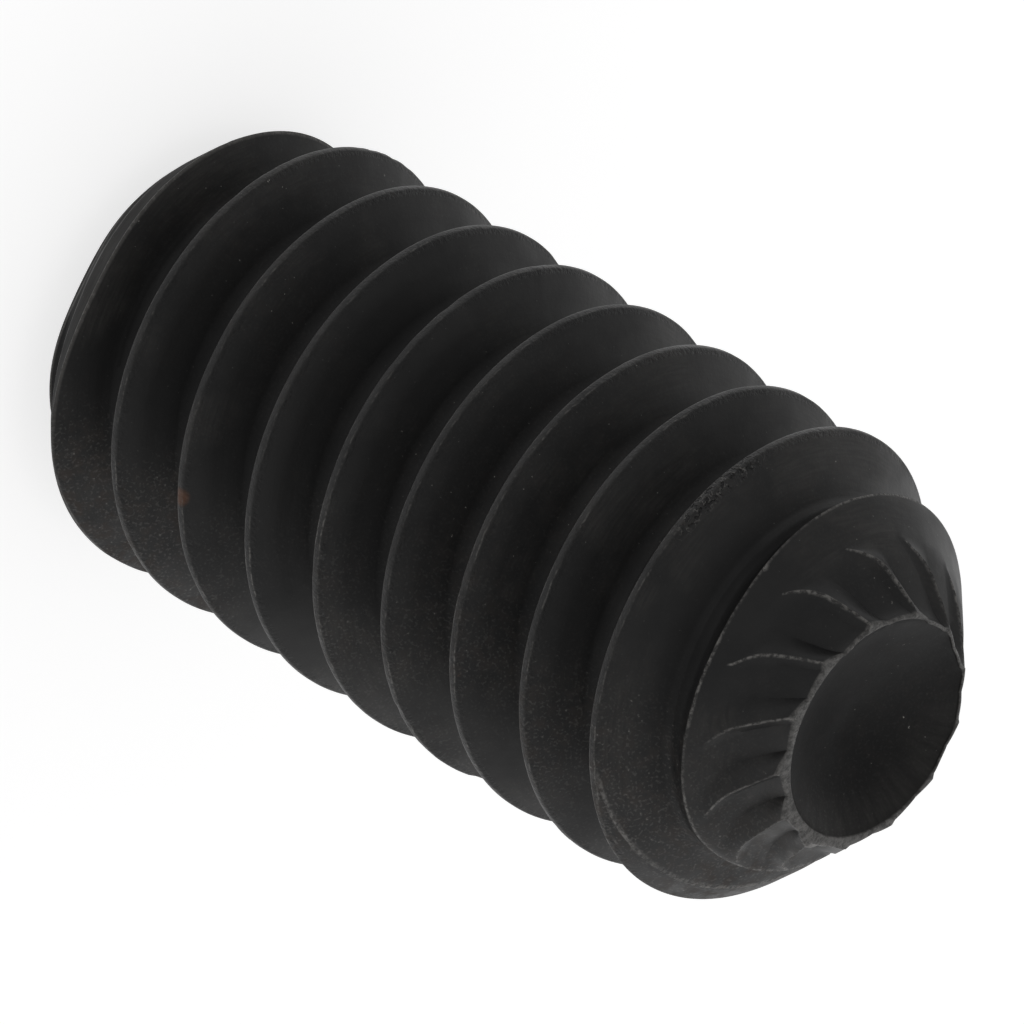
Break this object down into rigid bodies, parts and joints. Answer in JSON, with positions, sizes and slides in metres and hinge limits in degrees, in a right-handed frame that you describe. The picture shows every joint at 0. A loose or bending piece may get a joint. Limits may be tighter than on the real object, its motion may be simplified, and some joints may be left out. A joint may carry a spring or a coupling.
{
  "type": "grub set screw",
  "caption": "Headless socket set screw with a knurled cup point: threaded end to end, hexagon socket in one end, cup in the other.",
  "frame": {"origin": "centre of the flat end face around the hexagon socket, which the screw stands on", "axes": "+Z along the screw's axis towards the cup point; +X passes through a corner of the hexagon socket"},
  "size_m": [0.0062, 0.0062, 0.0127],
  "materials": {
    "black_oxide_steel": "satin"
  },
  "bodies": {
    "root": {"set_screw": "black_oxide_steel"}
  },
  "joints": []
}
